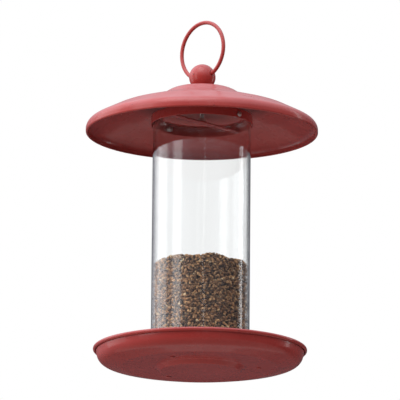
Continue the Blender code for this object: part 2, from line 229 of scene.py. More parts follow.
def cylinder(radius, length, matrix, steps=48):
    """A closed cylinder mesh along its matrix's Z axis, centred on it."""
    mesh = bpy.data.meshes.new("cylinder")
    shape = bmesh.new()
    bmesh.ops.create_cone(
        shape, cap_ends=True, segments=steps, radius1=radius, radius2=radius, depth=length,
        matrix=matrix,
    )
    shape.to_mesh(mesh)
    shape.free()
    return mesh


def block(size, matrix, bevel=0.0, edges="ALL", segments=4):
    """A box mesh with rounded edges; with edges X, only those along its own X axis are rounded."""
    mesh = bpy.data.meshes.new("block")
    shape = bmesh.new()
    bmesh.ops.create_cube(shape, size=1.0)
    bmesh.ops.scale(shape, vec=size, verts=shape.verts)
    if bevel:
        picked = [
            e for e in shape.edges
            if edges == "ALL" or abs(e.verts[0].co.x - e.verts[1].co.x) > size[0] / 2
        ]
        bmesh.ops.bevel(
            shape, geom=picked, offset=bevel, segments=segments, profile=0.5, affect="EDGES"
        )
    bmesh.ops.transform(shape, matrix=matrix, verts=shape.verts)
    shape.to_mesh(mesh)
    shape.free()
    return mesh


def joined(name, meshes, sharp=40):
    """One mesh that holds several."""
    shape = bmesh.new()
    for mesh in meshes:
        shape.from_mesh(mesh)
    result = bpy.data.meshes.new(name)
    shape.to_mesh(result)
    shape.free()
    return finish_mesh(result, sharp)


def placed(mesh, matrix):
    """The mesh moved by a matrix."""
    mesh.transform(matrix)
    return mesh


ALONG_X = Matrix.Rotation(math.pi / 2, 4, "Y")
ALONG_Y = Matrix.Rotation(-math.pi / 2, 4, "X")


def threaded(name, radius, low, high, pitch, steps=24, depth=0.3, taper=0.4):
    """A threaded rod along Z: the height of the thread is worked out at each point of its surface."""
    rows = math.ceil((high - low) / (pitch / 8))
    verts = [(0.0, 0.0, low)]
    for j in range(rows + 1):
        z = low + (high - low) * j / rows
        from_end = min(z - low, high - z) / (taper * pitch + 1e-9)
        for k in range(steps):
            phase = (z / pitch - k / steps) % 1.0
            tooth = 1.0 - abs(2.0 * phase - 1.0)
            r = radius - depth * pitch * 1.8 * (1.0 - min(1.0, 1.35 * tooth))
            r -= max(0.0, 1.0 - from_end) * 0.35 * pitch
            angle = 2 * math.pi * k / steps
            verts.append((r * math.cos(angle), r * math.sin(angle), z))
    verts.append((0.0, 0.0, high))
    faces = []
    for j in range(rows):
        for k in range(steps):
            a = 1 + j * steps + k
            b = 1 + j * steps + (k + 1) % steps
            faces.append((a, b, b + steps, a + steps))
    last = 1 + rows * steps
    for k in range(steps):
        faces.append((0, 1 + (k + 1) % steps, 1 + k))
        faces.append((len(verts) - 1, last + k, last + (k + 1) % steps))
    mesh = bpy.data.meshes.new(name)
    mesh.from_pydata(verts, [], faces)
    return finish_mesh(mesh, 60)


def hex_nut(name, flats, height, bore):
    """A hexagon nut on Z standing on its origin, its corners chamfered at both faces."""
    corner = flats / math.sqrt(3)
    mesh = cylinder(corner, height, Matrix.Translation((0.0, 0.0, height / 2)), steps=6)
    rise = (corner - flats / 2) * 0.62
    above = height + 0.0001 * MM  # just clear of the face, so only the corners are cut
    outline = [
        (0.0, height + MM), (corner * 1.3, height + MM), (corner * 1.3, height - rise - 0.3 * MM),
        (flats * 0.485, above), (0.0, above),
    ]
    top = turned("chamfer", outline, 48, closed=False)
    low_outline = [(r, height - z) for r, z in outline]
    bottom = turned("chamfer", low_outline, 48, closed=False)
    hole = cylinder(bore, height * 3, Matrix.Translation((0.0, 0.0, height / 2)), steps=32)
    sink = [
        (0.0, height + MM), (bore + 1.45 * MM, height + MM), (bore, height - 0.45 * MM),
        (0.0, height - 0.45 * MM),
    ]
    upper = turned("sink", sink, 32, closed=False)
    lower = turned("sink", [(r, height - z) for r, z in sink], 32, closed=False)
    mesh.name = name
    return cut(mesh, [top, bottom, hole, upper, lower], 25)


def screw(name, head_r, head_h, shank_r, length, pitch):
    """A pan head screw on Z with a cross recess: head above its origin and thread below."""
    head = turned(name, rounded([
        (0.0, head_h), (0.4 * head_r, head_h, 0.9 * head_r), (head_r, head_h * 0.72, 0.45 * head_h),
        (head_r * 0.985, 0.0, 0.12 * MM), (0.0, 0.0),
    ], math.radians(12)), 64, closed=False)
    recess = []
    for turn in (0.0, math.pi / 2):
        arm = block((1.25 * head_r, 0.24 * head_r, 1.5 * head_h), Matrix.Identity(4))
        for vertex in arm.vertices:
            if vertex.co.z < 0:
                vertex.co.x *= 0.35
        spin = Matrix.Rotation(turn + 0.4, 4, "Z")
        recess.append(placed(arm, Matrix.Translation((0.0, 0.0, 1.05 * head_h)) @ spin))
    head = cut(head, recess, 30)
    shank = threaded(name, shank_r, -length, 0.05 * MM, pitch, 20)
    return joined(name, [head, shank], 35)


# ---------------------------------------------------------------- materials

class Look:
    """A node material under construction, with short calls to add and link nodes."""

    def __init__(self, name):
        self.made = bpy.data.materials.new(name)
        self.made.use_nodes = True
        self.tree = self.made.node_tree
        self.shader = self.tree.nodes["Principled BSDF"]
        self.output = self.tree.nodes["Material Output"]
        self.where = self.add("ShaderNodeTexCoord")

    def add(self, kind, **settings):
        node = self.tree.nodes.new(kind)
        for key, value in settings.items():
            setattr(node, key, value)
        return node

    def link(self, a, b):
        self.tree.links.new(a, b)

    def feed(self, socket, value):
        """Links a socket to another, or sets its value."""
        if isinstance(value, bpy.types.NodeSocket):
            self.link(value, socket)
        else:
            socket.default_value = value

    def noise(self, scale, detail=3.0, rough=0.5, stretch=(1.0, 1.0, 1.0), vector=None):
        """Noise in 0 to 1, at a scale per metre of the feeder's own frame."""
        if vector is None:
            vector = self.where.outputs["Object"]
        mapping = self.add("ShaderNodeMapping")
        mapping.inputs["Scale"].default_value = stretch
        self.link(vector, mapping.inputs["Vector"])
        node = self.add("ShaderNodeTexNoise")
        node.inputs["Scale"].default_value = scale
        node.inputs["Detail"].default_value = detail
        node.inputs["Roughness"].default_value = rough
        self.link(mapping.outputs["Vector"], node.inputs["Vector"])
        return node.outputs["Fac"]

    def spread(self, value, low, high, to_low=0.0, to_high=1.0):
        """A value's stretch from low to high, mapped and clamped to another."""
        node = self.add("ShaderNodeMapRange")
        node.inputs["From Min"].default_value = low
        node.inputs["From Max"].default_value = high
        node.inputs["To Min"].default_value = to_low
        node.inputs["To Max"].default_value = to_high
        self.feed(node.inputs["Value"], value)
        return node.outputs["Result"]

    def math(self, operation, a, b=0.0):
        node = self.add("ShaderNodeMath", operation=operation)
        self.feed(node.inputs[0], a)
        self.feed(node.inputs[1], b)
        return node.outputs[0]

    def mix(self, factor, a, b):
        """A colour between a and b."""
        node = self.add("ShaderNodeMix", data_type="RGBA")
        self.feed(node.inputs[0], factor)
        self.feed(node.inputs[6], (*a, 1.0) if isinstance(a, tuple) else a)
        self.feed(node.inputs[7], (*b, 1.0) if isinstance(b, tuple) else b)
        return node.outputs[2]

    def upward(self):
        """How far the surface faces up in the feeder's frame, from -1 to 1."""
        parts = self.add("ShaderNodeSeparateXYZ")
        self.link(self.where.outputs["Normal"], parts.inputs[0])
        return parts.outputs["Z"]

    def place(self):
        """X, Y and Z in the feeder's frame, as three values."""
        parts = self.add("ShaderNodeSeparateXYZ")
        self.link(self.where.outputs["Object"], parts.inputs[0])
        return parts.outputs["X"], parts.outputs["Y"], parts.outputs["Z"]

    def flecks(self, scale, size, share):
        """Small round spots: 1 inside a spot. Only that share of the cells has one."""
        cells = self.add("ShaderNodeTexVoronoi")
        cells.inputs["Scale"].default_value = scale
        self.link(self.where.outputs["Object"], cells.inputs["Vector"])
        inside = self.spread(cells.outputs["Distance"], size * scale, 0.6 * size * scale)
        pick = self.add("ShaderNodeSeparateXYZ")
        self.link(cells.outputs["Color"], pick.inputs[0])
        chosen = self.math("LESS_THAN", pick.outputs["X"], share)
        return self.math("MULTIPLY", inside, chosen)

    def bump(self, layers):
        """Bumps from (height value, depth in metres, strength) layers, one on another."""
        last = None
        for height, depth, strength in layers:
            node = self.add("ShaderNodeBump")
            node.inputs["Distance"].default_value = depth
            node.inputs["Strength"].default_value = strength
            self.link(height, node.inputs["Height"])
            if last:
                self.link(last, node.inputs["Normal"])
            last = node.outputs["Normal"]
        return last

    def set(self, **values):
        """Sets or links the shader's sockets, with _ for a space in their names."""
        for key, value in values.items():
            self.feed(self.shader.inputs[key.replace("_", " ")], value)


def red_paint():
    """Semi-gloss brick red powder coat: orange peel, uneven fade, paler dust on top and on upright
    faces that is also a painted sheen, painted shade under the crown round the collar, flecks of
    dirt.
    """
    look = Look("red_powder_coat")
    fade = look.spread(look.noise(11.0, 4.0), 0.35, 0.68)
    colour = look.mix(fade, (0.350, 0.034, 0.027), (0.400, 0.050, 0.041))
    mottle = look.spread(look.noise(240.0, 3.0), 0.42, 0.72, 0.0, 0.09)
    colour = look.mix(mottle, colour, (0.310, 0.030, 0.025))
    # paler on faces that look up or sideways: partly settled dust, partly a painted sheen in place of
    # the bright sky's highlight
    upward_dust_and_sheen = look.spread(look.upward(), -0.15, 0.75)
    patches = look.spread(look.noise(38.0, 6.0, 0.62), 0.35, 0.80, 0.11, 0.22)
    dust_and_sheen = look.math("MULTIPLY", upward_dust_and_sheen, patches)
    colour = look.mix(dust_and_sheen, colour, (0.62, 0.42, 0.44))
    streaks = look.spread(look.noise(70.0, 4.0, 0.6, (1.0, 1.0, 0.12)), 0.60, 0.80, 0.0, 0.16)
    colour = look.mix(streaks, colour, (0.22, 0.060, 0.045))
    dirt = look.flecks(95.0, 1.05 * MM, 0.085)
    crumbs = look.flecks(260.0, 0.42 * MM, 0.02)
    grime = look.math("MAXIMUM", dirt, crumbs)
    across, along, height = look.place()
    on_tray = look.spread(height, RIM_Z + 12 * MM, RIM_Z + 10 * MM)
    chips = look.math("MULTIPLY", look.flecks(34.0, 1.9 * MM, 0.42), on_tray)
    grime = look.math("MAXIMUM", grime, chips)
    # painted shade: the roof's underside goes dark towards the crown, over the collar and the
    # carrier, where little light reaches
    reach = look.math("SQRT", look.math("ADD", look.math("MULTIPLY", across, across),
                                        look.math("MULTIPLY", along, along)))
    painted_crown_shade = look.math("MULTIPLY", look.spread(reach, 104 * MM, 84 * MM),
                      look.spread(look.upward(), 0.0, -0.3, 0.0, 0.75))
    for low, high in ((COLLAR_HIGH.z + 8 * MM, COLLAR_HIGH.z + 14 * MM),
                      (ROOF_HIGH.z - 0.2 * MM, ROOF_HIGH.z - 0.6 * MM)):
        painted_crown_shade = look.math("MULTIPLY", painted_crown_shade, look.spread(height, low, high))
    # the painted shade under the crown is a dark red
    colour = look.mix(painted_crown_shade, colour, (0.095, 0.014, 0.011))
    colour = look.mix(grime, colour, (0.030, 0.016, 0.013))
    gloss = look.spread(look.noise(26.0, 5.0, 0.6), 0.3, 0.7, 0.22, 0.32)
    gloss = look.math("ADD", gloss, look.math("MULTIPLY", dust_and_sheen, 0.3))
    # rougher under the grime and in the painted shade under the crown
    grime_and_painted_shade = look.math("MAXIMUM", grime, painted_crown_shade)
    gloss = look.math("ADD", gloss, look.math("MULTIPLY", grime_and_painted_shade, 0.35))
    look.set(Base_Color=colour, Roughness=gloss, Coat_Weight=0.18, Coat_Roughness=0.06)
    look.set(Specular_IOR_Level=0.26, IOR=1.42)
    look.set(Normal=look.bump([
        (look.noise(16.0, 2.0), 1.2 * MM, 0.35),
        (look.noise(420.0, 2.0), 0.03 * MM, 0.30),
        (grime, 0.25 * MM, 0.6),
    ]))
    return look.made


def zinc_steel():
    """Bright zinc plate: fine grain, cloudy dulling and a touch of white bloom."""
    look = Look("zinc_plate")
    cloud = look.spread(look.noise(300.0, 5.0, 0.6), 0.35, 0.7)
    colour = look.mix(cloud, (0.66, 0.66, 0.64), (0.50, 0.50, 0.46))
    bloom = look.spread(look.noise(900.0, 3.0), 0.62, 0.75, 0.0, 0.5)
    colour = look.mix(bloom, colour, (0.74, 0.75, 0.76))
    look.set(Base_Color=colour, Metallic=1.0)
    look.set(Roughness=look.spread(look.noise(420.0, 4.0), 0.3, 0.7, 0.24, 0.48))
    look.set(Normal=look.bump([
        (look.noise(1500.0, 2.0), 0.05 * MM, 0.5),
        (look.noise(220.0, 3.0), 0.15 * MM, 0.3),
    ]))
    return look.made


def clear_plastic():
    """Clear extruded plastic: faint draw lines along the tube, light scuffs, next to no tint."""
    look = Look("clear_tube_plastic")
    across, along, height = look.place()
    angle = look.math("ARCTAN2", along, across)
    unrolled = look.add("ShaderNodeCombineXYZ")
    look.link(look.math("MULTIPLY", angle, 0.07), unrolled.inputs["X"])
    look.link(look.math("MULTIPLY", height, 0.012), unrolled.inputs["Y"])
    lines = look.noise(210.0, 4.0, 0.65, vector=unrolled.outputs[0])
    scuffs = look.noise(160.0, 8.0, 0.75)
    worn = look.spread(scuffs, 0.55, 0.8, 0.0, 0.10)
    low = look.spread(height, SEED_HIGH.z + 20 * MM, TUBE_LOW.z, 0.0, 0.05)
    look.set(Base_Color=(0.972, 0.980, 0.978, 1.0), Transmission_Weight=1.0, IOR=1.45)
    look.set(Roughness=look.math("ADD", look.math("ADD", worn, low), 0.015))
    look.set(Normal=look.bump([(lines, 0.35 * MM, 0.35)]))
    through = look.add("ShaderNodeBsdfTransparent")
    through.inputs["Color"].default_value = (0.94, 0.96, 0.955, 1.0)
    ray = look.add("ShaderNodeLightPath")
    mixer = look.add("ShaderNodeMixShader")
    look.link(ray.outputs["Is Shadow Ray"], mixer.inputs[0])
    look.link(look.shader.outputs[0], mixer.inputs[1])
    look.link(through.outputs[0], mixer.inputs[2])
    look.link(mixer.outputs[0], look.output.inputs["Surface"])
    return look.made


def black_rubber():
    """Matte black rubber with a fine moulded grain and a little dust."""
    look = Look("seal_rubber")
    dusty = look.spread(look.noise(600.0, 5.0), 0.45, 0.75, 0.0, 0.5)
    look.set(Base_Color=look.mix(dusty, (0.022, 0.022, 0.022), (0.09, 0.085, 0.08)))
    look.set(Roughness=look.spread(look.noise(400.0), 0.3, 0.7, 0.65, 0.85))
    look.set(Normal=look.bump([(look.noise(2600.0, 2.0), 0.06 * MM, 0.6)]))
    return look.made


def seed_look():
    """Dry brown seed and pellets: each has its own tone, with a grain, paler scuffed skin and painted
    shade between grains.
    """
    look = Look("seed_mix_grain")
    tone = look.add("ShaderNodeAttribute", attribute_name="tone")
    ramp = look.add("ShaderNodeValToRGB")
    stops = (
        (0.00, (0.018, 0.008, 0.003)),
        (0.20, (0.135, 0.055, 0.015)),
        (0.50, (0.370, 0.180, 0.068)),
        (0.78, (0.550, 0.300, 0.125)),
        (0.95, (0.690, 0.420, 0.185)),
        (1.00, (0.800, 0.590, 0.330)),
    )
    while len(ramp.color_ramp.elements) < len(stops):
        ramp.color_ramp.elements.new(0.5)
    for stop, (at, colour) in zip(ramp.color_ramp.elements, stops):
        stop.position = at
        stop.color = (*colour, 1.0)
    look.link(tone.outputs["Fac"], ramp.inputs["Fac"])
    skin = look.spread(look.noise(900.0, 4.0, 0.6), 0.45, 0.75, 0.0, 0.30)
    colour = look.mix(skin, ramp.outputs["Color"], (0.38, 0.190, 0.070))
    # painted shade: random dark blotches in place of the shadows in the gaps between grains
    painted_gap_shade = look.spread(look.noise(230.0, 3.0, 0.6), 0.54, 0.40, 0.0, 0.9)
    look.set(Base_Color=look.mix(painted_gap_shade, colour, (0.030, 0.016, 0.008)))
    look.set(Roughness=look.spread(look.noise(500.0), 0.3, 0.7, 0.55, 0.85))
    look.set(Normal=look.bump([(look.noise(1800.0, 3.0), 0.12 * MM, 0.7)]))
    return look.made


RED = red_paint()
ZINC = zinc_steel()
CLEAR = clear_plastic()
RUBBER = black_rubber()
GRAIN = seed_look()


# ---------------------------------------------------------------- hanger, finial and roof

def hanger_loop():
    """The coated wire ring, its two ends turned into the ball's cross hole."""
    rise = 36 * MM
    ring = LOOP_HIGH.z - HOLE_Z - rise - WIRE_R
    centre_z = HOLE_Z + rise
    meet = math.sqrt(ring**2 - rise**2)
    bend = 3.4 * MM
    first = -math.atan2(rise, meet) + bend / ring
    side = []
    count = 120
    for k in range(count + 1):
        angle = first + (math.pi - 2 * first) * k / count
        side.append((ring * math.cos(angle), centre_z + ring * math.sin(angle)))
    start, leave = (meet - bend, HOLE_Z), side[0]
    end = [(8 * MM, HOLE_Z), start]
    turns = 8
    for k in range(1, turns):
        t = k / turns
        end.append(tuple(
            (1 - t) ** 2 * a + 2 * t * (1 - t) * b + t**2 * c
            for a, b, c in zip(start, (meet, HOLE_Z), leave)
        ))
    route = end + side + [(-x, z) for x, z in reversed(end)]
    data = bpy.data.curves.new("hanger_wire", "CURVE")
    data.dimensions = "3D"
    data.bevel_depth = WIRE_R
    data.bevel_resolution = 7
    data.use_fill_caps = True
    spline = data.splines.new("POLY")
    spline.points.add(len(route) - 1)
    for point, (x, z) in zip(spline.points, route):
        point.co = (x, 0.0, z, 1.0)
    holder = bpy.data.objects.new("hanger_wire_curve", data)
    bpy.context.scene.collection.objects.link(holder)
    graph = bpy.context.evaluated_depsgraph_get()
    mesh = bpy.data.meshes.new_from_object(holder.evaluated_get(graph), depsgraph=graph)
    bpy.data.objects.remove(holder, do_unlink=True)
    piece("hanger_wire", finish_mesh(mesh), "hanger", RED, "red_paint", "hanger_loop")


def finial():
    """The ball with its cross hole, the blind hole up its foot, and the rubber seal under it."""
    radius = 19 * MM
    centre = HOLE_Z - 3.3 * MM
    foot_drop = centre - BALL_LOW.z
    foot = math.degrees(math.acos(foot_drop / radius))
    outline = [(0.0, radius + centre)] + arc(0.0, centre, radius, 89, -90 + foot + 1.0, 60)
    flat_r = radius * math.sin(math.radians(foot))
    outline += [(flat_r - 0.35 * MM, BALL_LOW.z), (0.0, BALL_LOW.z)]
    ball = turned("finial_knob", outline, 128, closed=False)
    hole = cylinder(3.5 * MM, 60 * MM, Matrix.Translation((0, 0, HOLE_Z)) @ ALONG_X)
    blind = cylinder(3.3 * MM, 25.2 * MM, Matrix.Translation((0, 0, BALL_LOW.z)))
    piece("finial_knob", cut(ball, [hole, blind], 35), "finial", RED, "red_paint", "finial_ball")
    low, high = SEAL_LOW.z, SEAL_HIGH.z
    ring = rounded([
        (3.6 * MM, high, 0.2 * MM), (8.5 * MM, high, 0.5 * MM),
        (8.5 * MM, low, 0.5 * MM), (3.6 * MM, low, 0.2 * MM),
    ], math.radians(30))
    piece("seal_washer", turned("seal_washer", ring, 96), "seal", RUBBER, "black_rubber",
          "finial_seal")


def roof():
    """The pressed roof: flat crown, short flank, long slope, rounded eave and a lip curled in."""
    outline = rounded([
        (3.6 * MM, ROOF_HIGH.z),
        (44.0 * MM, ROOF_HIGH.z, 30 * MM),
        (61.0 * MM, EAVE_Z + 48.4 * MM, 14 * MM),
        (127.0 * MM, EAVE_Z + 28.2 * MM, 70 * MM),
        (158.0 * MM, EAVE_Z + 12.6 * MM, 30 * MM),
        (ROOF_R, EAVE_Z + 7.5 * MM, 12.5 * MM),
        (ROOF_R, EAVE_Z - 4.5 * MM, 2.2 * MM),
        (163.6 * MM, EAVE_Z - 4.5 * MM),
    ], math.radians(4))
    closed = sheet_outline(subdivided(outline, 6 * MM))
    mesh = turned("roof_pressing", closed, 256)
    piece("roof_pressing", mesh, "roof", RED, "red_paint", "roof_shell")


def roof_carrier():
    """The stud, its weld nut, and the washer and nut under the roof's crown."""
    low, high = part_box("roof_washer")
    ring = rounded([
        (3.3 * MM, high.z, 0.1 * MM), (high.x, high.z, 0.3 * MM),
        (high.x, low.z, 0.45 * MM), (3.3 * MM, low.z, 0.1 * MM),
    ], math.radians(30))
    piece("crown_washer", turned("crown_washer", ring, 96), FEEDER, ZINC, "zinc_steel",
          "roof_washer")
    for name, node in (("crown_nut", "roof_nut"), ("weld_nut", "stud_foot_nut")):
        low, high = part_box(node)
        nut = hex_nut(name, 10 * MM, high.z - low.z, 3.1 * MM)
        placed(nut, Matrix.Translation((0.0, 0.0, low.z)))
        piece(name, nut, FEEDER, ZINC, "zinc_steel", node)
    rod = threaded("threaded_stud", STUD_HIGH.x, STUD_LOW.z, STUD_HIGH.z, 1.0 * MM, 28)
    piece("threaded_stud", rod, FEEDER, ZINC, "zinc_steel", "centre_stud")
    bead = turned("stud_weld", arc(6.0 * MM, BAR_HIGH.z + 0.1 * MM, 0.8 * MM, 0, 360, 12)[:-1], 96)
    wander = random.Random(3)
    for vertex in bead.vertices:
        lump = 1.0 + 0.05 * math.sin(vertex.co.x * 9000) + 0.05 * wander.uniform(-1, 1)
        vertex.co.xy *= lump
        vertex.co.x = max(-5.6 * MM, min(5.6 * MM, vertex.co.x))
    piece("stud_weld", finish_mesh(bead), FEEDER, RED, "red_paint")


# ---------------------------------------------------------------- collar, bar and tube

def collar():
    """The pressed band round the tube's top, with its turned-in lip and beaded lower edge."""
    outline = rounded([
        (63.5 * MM, COLLAR_HIGH.z),
        (COLLAR_HIGH.x, COLLAR_HIGH.z, 3.0 * MM),
        (COLLAR_HIGH.x, COLLAR_LOW.z + 0.6 * MM),
    ], math.radians(8))
    mesh = turned("collar_band", sheet_outline(subdivided(outline, 4 * MM)), TURN_STEPS)
    hole = cylinder(2.3 * MM, 0.2, Matrix.Translation((0, 0, COLLAR_SCREW_Z)) @ ALONG_X, 32)
    piece("collar_band", cut(mesh, [hole]), FEEDER, RED, "red_paint", "top_collar")


def cross_bar():
    """The flat bar across the collar with its corners rolled, and a weld at each end."""
    size = BAR_HIGH - BAR_LOW
    middle = (BAR_HIGH + BAR_LOW) / 2
    bar = block(size, Matrix.Translation(middle), 0.45 * MM, segments=3)
    shape = bmesh.new()
    shape.from_mesh(bar)
    for k in range(1, 12):
        at = Vector((0.0, BAR_LOW.y + size.y * k / 12, 0.0))
        everything = shape.verts[:] + shape.edges[:] + shape.faces[:]
        bmesh.ops.bisect_plane(shape, geom=everything, plane_co=at, plane_no=(0.0, 1.0, 0.0))
    shape.to_mesh(bar)
    shape.free()
    bar.name = "carrier_bar"
    piece("carrier_bar", finish_mesh(bar), FEEDER, RED, "red_paint", "cross_bar")
    for label, side in (("front", -1), ("back", 1)):
        beads = []
        wander = random.Random(11 + side)
        for n in range(9):
            x = (n - 4) * 1.25 * MM
            y = side * (math.sqrt((71.7 * MM) ** 2 - x * x) - 0.5 * MM)
            bead = bpy.data.meshes.new("bead")
            shape = bmesh.new()
            bmesh.ops.create_icosphere(shape, subdivisions=3, radius=1.0)
            scale = (1.0 + 0.15 * wander.random(), 0.75, 0.85 + 0.15 * wander.random())
            bmesh.ops.scale(shape, vec=Vector(scale) * MM, verts=shape.verts)
            bmesh.ops.translate(shape, vec=(x, y, BAR_LOW.z - 0.15 * MM), verts=shape.verts)
            shape.to_mesh(bead)
            shape.free()
            beads.append(bead)
        name = f"bar_weld_{label}"
        piece(name, joined(name, beads), FEEDER, RED, "red_paint")


def collar_fasteners():
    """The two radial screws with cross recesses, and their nuts inside the tube."""
    for label, side in (("right", 1), ("left", -1)):
        low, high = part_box("collar_screw_" + label)
        length = high.x - low.x - 2.4 * MM
        head_x = 73.3 * MM
        mesh = screw("collar_bolt_" + label, 3.8 * MM, 2.4 * MM, 2.0 * MM, length, 0.7 * MM)
        turn = Matrix.Rotation(side * math.pi / 2, 4, "Y")
        placed(mesh, Matrix.Translation((side * head_x, 0.0, COLLAR_SCREW_Z)) @ turn)
        piece("collar_bolt_" + label, mesh, FEEDER, ZINC, "zinc_steel", "collar_screw_" + label)
        low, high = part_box("collar_nut_" + label)
        nut_x = max(abs(low.x), abs(high.x))
        nut = hex_nut("collar_bolt_nut_" + label, 7 * MM, 3.2 * MM, 2.1 * MM)
        turn = Matrix.Rotation(-side * math.pi / 2, 4, "Y")
        placed(nut, Matrix.Translation((side * nut_x, 0.0, COLLAR_SCREW_Z)) @ turn)
        piece("collar_bolt_nut_" + label, nut, FEEDER, ZINC, "zinc_steel", "collar_nut_" + label)


PORT_MIDDLE_Z = TRAY_FLOOR_Z + 25.5 * MM
PORT_SIZE = (30 * MM, 20 * MM)


def tube():
    """The clear tube: two notches over the bar, four seed ports and four screw holes."""
    low, high = TUBE_LOW.z, TUBE_HIGH.z
    edge = 0.35 * MM
    top, foot = COLLAR_LOW.z - 4 * MM, TRAY_FLOOR_Z + 42 * MM  # the holes are above and below these
    ring = rounded([
        (TUBE_IN_R, foot), (TUBE_IN_R, top), (TUBE_IN_R, high, edge), (TUBE_R, high, edge),
        (TUBE_R, top), (TUBE_R, foot), (TUBE_R, low, edge), (TUBE_IN_R, low, edge),
    ], math.radians(30))
    mesh = turned("clear_tube", ring, 256)
    notch_low = BAR_LOW.z - 0.3 * MM
    notch = block(
        (13 * MM, 0.2, 40 * MM), Matrix.Translation((0.0, 0.0, notch_low + 20 * MM))
    )
    cutters = [notch]
    for turn in (0.0, math.pi / 2):
        place = Matrix.Translation((0.0, 0.0, PORT_MIDDLE_Z)) @ Matrix.Rotation(turn, 4, "Z")
        cutters.append(block((0.17, *PORT_SIZE), place, 8 * MM, "X", 8))
    for z, spin in ((COLLAR_SCREW_Z, ALONG_X), (BASE_SCREW_Z, ALONG_Y)):
        cutters.append(cylinder(2.3 * MM, 0.2, Matrix.Translation((0, 0, z)) @ spin, 32))
    piece("clear_tube", cut(mesh, cutters, 35), FEEDER, CLEAR, "clear_plastic", "feed_tube")


# ---------------------------------------------------------------- base and tray

RIVET_R_AT = 83 * MM
RIVET_ANGLES = [math.radians(46 + 120 * n) for n in range(3)]
DRAIN_R_AT = 106 * MM
DRAIN_ANGLES = [math.radians(9.5) + 2 * math.pi * n / 6 for n in range(6)]


def upright_cutters(radius, at, angles):
    """A cutter along Z for each hole on a circle through the tray's floor."""
    return [
        cylinder(radius, 20 * MM, Matrix.Translation(
            (at * math.cos(a), at * math.sin(a), TRAY_FLOOR_Z)), 32)
        for a in angles
    ]


def base():
    """The flanged ring round the tube's foot, its two screws and the three rivets."""
    ring_r = 73 * MM
    outline = rounded([
        (ring_r, BASE_HIGH.z),
        (ring_r, BASE_LOW.z + SHEET, 1.5 * MM),
        (BASE_HIGH.x - 0.6 * MM, BASE_LOW.z + SHEET),
    ], math.radians(10))
    mesh = turned("base_flange", sheet_outline(subdivided(outline, 4 * MM)), TURN_STEPS)
    holes = [cylinder(2.3 * MM, 0.2, Matrix.Translation((0, 0, BASE_SCREW_Z)) @ ALONG_Y, 32)]
    holes += upright_cutters(2.1 * MM, RIVET_R_AT, RIVET_ANGLES)
    piece("base_flange", cut(mesh, holes), FEEDER, RED, "red_paint", "base_ring")
    for label, side in (("front", -1), ("back", 1)):
        mesh = screw("base_bolt_" + label, 3.8 * MM, 2.4 * MM, 2.0 * MM, 5.8 * MM, 0.9 * MM)
        turn = Matrix.Rotation(-side * math.pi / 2, 4, "X")
        placed(mesh, Matrix.Translation((0.0, side * 73.3 * MM, BASE_SCREW_Z)) @ turn)
        piece("base_bolt_" + label, mesh, FEEDER, ZINC, "zinc_steel", "base_screw_" + label)
    top = TRAY_FLOOR_Z + SHEET + 0.6 * MM
    low = TRAY_UNDER_Z - 0.3 * MM
    dome = [(0.0, top + 1.4 * MM)] + [
        (3.6 * MM * math.sin(a), top + 1.4 * MM * math.cos(a))
        for a in (math.radians(n) for n in range(9, 91, 9))
    ]
    foot = [(r, low - (z - top)) for r, z in reversed(dome)]
    outline = dome + [(1.8 * MM, top), (1.8 * MM, low)] + foot
    for n, angle in enumerate(RIVET_ANGLES):
        shift = (RIVET_R_AT * math.cos(angle), RIVET_R_AT * math.sin(angle))
        mesh = turned(f"dome_rivet_{n + 1}", outline, 48, closed=False, shift=shift)
        piece(f"dome_rivet_{n + 1}", mesh, FEEDER, RED, "red_paint", f"tray_rivet_{n + 1}")


def tray():
    """The pressed tray: rolled rim, leaning wall, flat floor with drain holes, shallow well."""
    rim = arc(149.0 * MM, RIM_Z, 1.55 * MM, -90, 180, 18)
    well = 63.4 * MM
    body = rounded([
        rim[-1],
        (147.5 * MM, RIM_Z - 4.0 * MM, 10 * MM),
        (143.7 * MM, RIM_Z - 18.5 * MM, 15 * MM),
        (112.0 * MM, TRAY_UNDER_Z, 8 * MM),
        (well, TRAY_UNDER_Z, 2.0 * MM),
        (well - 7 * MM, TRAY_LOW.z, 3.0 * MM),
        (0.0, TRAY_LOW.z),
    ], math.radians(5))
    outline = sheet_outline(subdivided(rim[:-1] + body, 6 * MM), on_axis=True)
    mesh = turned("tray_pressing", outline, 256, closed=True)
    holes = upright_cutters(2.1 * MM, RIVET_R_AT, RIVET_ANGLES)
    holes += upright_cutters(2.0 * MM, DRAIN_R_AT, DRAIN_ANGLES)
    piece("tray_pressing", cut(mesh, holes), FEEDER, RED, "red_paint", "tray")


def baffle():
    """The plated cone inside the tube's foot that sheds seed towards the ports."""
    outline = rounded([
        (0.0, BAFFLE_HIGH.z),
        (58 * MM, BAFFLE_LOW.z + SHEET, 3 * MM),
        (BAFFLE_HIGH.x - 0.6 * MM, BAFFLE_LOW.z + SHEET),
    ])
    line = [(r, z) for r, z in subdivided(outline, 6 * MM)]
    under = [(r, z - SHEET) for r, z in line]
    mesh = turned("baffle_cone", line + list(reversed(under)), 128, closed=False)
    piece("baffle_cone", mesh, FEEDER, ZINC, "zinc_steel", "seed_baffle")


# ---------------------------------------------------------------- seed

